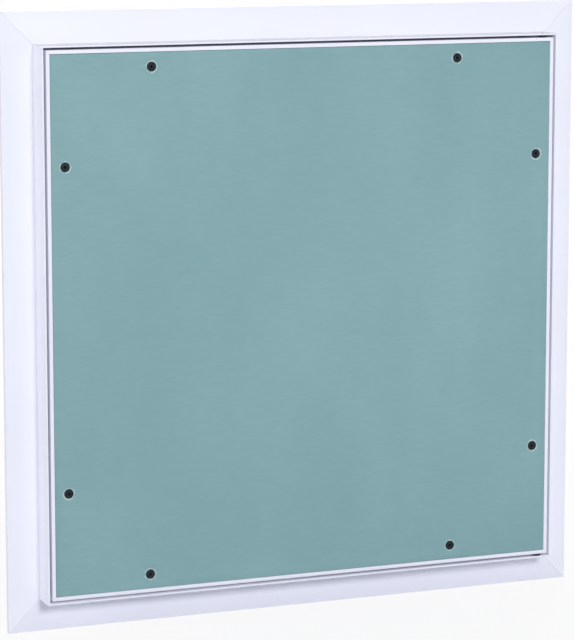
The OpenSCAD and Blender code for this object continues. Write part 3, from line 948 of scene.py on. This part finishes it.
seat = [
    (0, SEAT_ABOVE),
    (5.9, SEAT_ABOVE),
    (5.7, 0.3),
    (5.0, 0.2),
    (4.4, 0.08),
    (4.06, -0.04),
    (4.05, -0.32),
    (2.69, -1.51),
    (2.05, -2.52),
    (SHANK_HOLE_RADIUS, -3.36),
    (SHANK_HOLE_RADIUS, SEAT_BELOW),
    (0, SEAT_BELOW),
]
bm = bmesh.new()
add_block(bm, board_low, board_high)
round_edges(bm, bm.edges[:], BOARD_ROUNDING)
seat_shape = as_mesh(lathe(seat, SEAT_STEPS), "screw_seat_shape")
seats = bmesh.new()
for spot in screw_places:
    add_copy(seats, seat_shape, Matrix.Translation(spot) @ POINT_BACK)
make_piece(cut_away(bm, seats), "board_slab", "leaf", "gypsum_board", "green_board")

# %% [markdown]
# ## Push latches
# There is no handle or lock on the front: pushing the leaf's left edge releases it. Behind that edge sit two
# push latches, each with a spring, and a plunger whose magnet holds a steel strike plate on the leaf. Stamped
# and moulded pieces keep the shape of their solids. A copy is merged, freed of its triangles and given softly
# broken edges, and the mouldings get the shallow panels that keep a plastic wall even.

# %% Helpers for stamped and moulded pieces
FLAT_BELOW = math.radians(1)
CRISP_ABOVE = math.radians(35)
HOLE_FACET = 1.0


def broken_copy(node, rounding, shortest=0.0):
    """A solid with its crisp edges rounded. Edges below the shortest length, as around a hole, stay crisp."""
    bm = joined_copy(node)
    bmesh.ops.dissolve_limit(bm, angle_limit=FLAT_BELOW, verts=bm.verts, edges=bm.edges)
    crisp = [line for line in bm.edges if line.is_manifold and line.calc_face_angle() > CRISP_ABOVE]
    round_edges(bm, [line for line in crisp if line.calc_length() > shortest * MM], rounding)
    return bm


def sink_panels(bm, centre, panels):
    """Cuts shallow panels, each listed as two corners in millimetres from the centre of the latch."""
    tool = bmesh.new()
    for low, high in panels:
        add_block(tool, centre + place_at(*low), centre + place_at(*high))
    return cut_away(bm, tool)


print("edge and panel helpers ready")

# %% Corner keys, strike plates and brackets
METAL_ROUNDING = 0.3
STAMPED = (
    ("frame_corner_keys", "frame_angle_keys", "frame", "zinc_steel"),
    ("leaf_corner_keys", "leaf_flat_keys", "leaf", "bare_aluminium"),
    ("strike_plate_upper", "upper_strike", "leaf", "zinc_steel"),
    ("strike_plate_lower", "lower_strike", "leaf", "zinc_steel"),
    ("latch_bracket_upper", "upper_bracket", "frame", "zinc_steel"),
    ("latch_bracket_lower", "lower_bracket", "frame", "zinc_steel"),
)

for node, name, body, slot in STAMPED:
    make_piece(broken_copy(node, METAL_ROUNDING, HOLE_FACET), name, body, node, slot)

# %% Panels of the mouldings
PANEL_DEPTH = 0.6
PANEL_MARGIN = 2.2
PANEL_PAST = 1.0
PANEL_RUNS = ((-1.0, 12.0), (19.0, 29.0))

latch_centres = {}
for level in ("upper", "lower"):
    cap_low, cap_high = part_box("latch_cap_" + level)
    middle = (cap_low + cap_high) / 2
    latch_centres[level] = place_at(in_mm(middle.x), 0, in_mm(middle.z))
half_width = in_mm(cap_high.x - cap_low.x) / 2
half_height = in_mm(cap_high.z - cap_low.z) / 2
cap_back = in_mm(cap_high.y)
panel_x = half_width - PANEL_MARGIN
panel_z = half_height - PANEL_MARGIN
side_skin = (half_width - PANEL_DEPTH, half_width + PANEL_PAST)
end_skin = (half_height - PANEL_DEPTH, half_height + PANEL_PAST)
housing_panels = []
for front, back in PANEL_RUNS:
    housing_panels += [
        ((-side_skin[1], front, -panel_z), (-side_skin[0], back, panel_z)),
        ((side_skin[0], front, -panel_z), (side_skin[1], back, panel_z)),
        ((-panel_x, front, -end_skin[1]), (panel_x, back, -end_skin[0])),
        ((-panel_x, front, end_skin[0]), (panel_x, back, end_skin[1])),
    ]
cap_front, cap_past = cap_back - PANEL_DEPTH, cap_back + PANEL_PAST
cap_panels = [((-panel_x, cap_front, -panel_z), (panel_x, cap_past, panel_z))]
print(len(housing_panels), "panels on a housing,", len(cap_panels), "on a cap")

# %% Housings, caps and plungers
HOUSING_ROUNDING = 0.5
CAP_ROUNDING = 0.4
PLUNGER_ROUNDING = 0.4

for level, centre in latch_centres.items():
    node = "latch_housing_" + level
    bm = sink_panels(broken_copy(node, HOUSING_ROUNDING, HOLE_FACET), centre, housing_panels)
    make_piece(bm, level + "_housing", "frame", node, "white_plastic")
    node = "latch_cap_" + level
    bm = sink_panels(broken_copy(node, CAP_ROUNDING, HOLE_FACET), centre, cap_panels)
    make_piece(bm, level + "_cap", "frame", node, "white_plastic")
    node = "latch_plunger_" + level
    bm = broken_copy(node, PLUNGER_ROUNDING)
    make_piece(bm, level + "_plunger", "plunger_" + level, node, "white_plastic")

# %% Springs
WIRE_RADIUS = 0.5
WIRE_SIDES = 10
SPRING_TURNS = 6
SPRING_STEPS = 24

for level, centre in latch_centres.items():
    node = "latch_spring_" + level
    spring_low, spring_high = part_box(node)
    coil_radius = in_mm(spring_high.x - spring_low.x) / 2 - WIRE_RADIUS
    coil_length = in_mm(spring_high.y - spring_low.y) - 2 * WIRE_RADIUS
    coil_back = in_mm(spring_high.y) - WIRE_RADIUS
    wire = []
    for step in range(WIRE_SIDES):
        turn = FULL_TURN * step / WIRE_SIDES
        wire.append((coil_radius + WIRE_RADIUS * math.cos(turn), WIRE_RADIUS * math.sin(turn)))
    bm = bmesh.new()
    wind(bm, wire, SPRING_TURNS, coil_length / SPRING_TURNS, SPRING_STEPS)
    onto_seat = Matrix.Translation(centre + place_at(0, coil_back, 0)) @ POINT_BACK
    bmesh.ops.transform(bm, matrix=onto_seat, verts=bm.verts)
    make_piece(bm, level + "_spring", "frame", node, "zinc_steel")

# %% Latch screws
PAN_HEIGHT = 2.0
PAN_RADIUS = 2.75
SHANK_RADIUS = 1.3
SHANK_LENGTH = 7.5
PAN_STEPS = 40

pan_screw = [
    (0, PAN_HEIGHT),
    (1.6, PAN_HEIGHT),
    (2.3, 1.75),
    (2.7, 1.2),
    (PAN_RADIUS, 0),
    (SHANK_RADIUS, 0),
    (SHANK_RADIUS, 0.5 - SHANK_LENGTH),
    (1.0, -SHANK_LENGTH),
    (0, -SHANK_LENGTH),
]
bm = cut_away(lathe(pan_screw, PAN_STEPS), driver_cross(reach=1.5, slot=0.75, depth=1.3))
latch_screw = as_mesh(bm, "latch_screw_shape")
under_head = in_mm(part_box("latch_screws")[0].y) + PAN_HEIGHT
bm = bmesh.new()
for x, y, z in solid_centres("latch_screws"):
    add_copy(bm, latch_screw, Matrix.Translation(place_at(x, under_head, z)) @ POINT_BACK)
make_piece(bm, "latch_pan_screws", "frame", "latch_screws", "zinc_steel")

# %% [markdown]
# ## Floor
# The panel stands on a plain white floor that is large enough to fill every view, and the soft lamps leave a
# soft shadow on it. Away from the panel the floor turns into the plain white of the surround, for the camera
# and for reflections only, so that no edge or horizon shows. The floor rides on no body of the panel. Its
# sizes are in metres.

# %% Floor
FLOOR_DIM = (0.75, 0.765, 0.80)
FLOOR_BRIGHT = (0.77, 0.785, 0.82)
FLOOR_REACH = 30.0
FLOOR_BELOW = 0.0005
WHITE_FROM = 0.25
WHITE_AT = 0.95
WHITE_NEAR = 0.87

bm = bmesh.new()
bmesh.ops.create_grid(bm, x_segments=1, y_segments=1, size=FLOOR_REACH)
bmesh.ops.translate(bm, verts=bm.verts, vec=(0, 0, cad_box[0][2] - FLOOR_BELOW))
floor = as_object(bm, "studio_floor")
floor_white, tree, shader, place = new_finish("floor_white", roughness=0.9)
tint = mix(tree, noise(tree, place, per_metre=3.0), FLOOR_DIM, FLOOR_BRIGHT)
plug(tree, tint, shader.inputs["Base Color"])
away = tree.nodes.new("ShaderNodeVectorMath")
away.operation = "LENGTH"
tree.links.new(place, away.inputs[0])
white_share = spread(tree, away.outputs["Value"], WHITE_FROM, WHITE_AT, WHITE_NEAR, 1.0)
choose(
    tree,
    calc(tree, "MULTIPLY", white_share, looked_at(tree)),
    shader.outputs[0],
    tree.nodes.new("ShaderNodeEmission").outputs[0],
    tree.nodes["Material Output"],
)
floor.data.materials.append(floor_white)
print("floor at", round(cad_box[0][2], 4), "m")
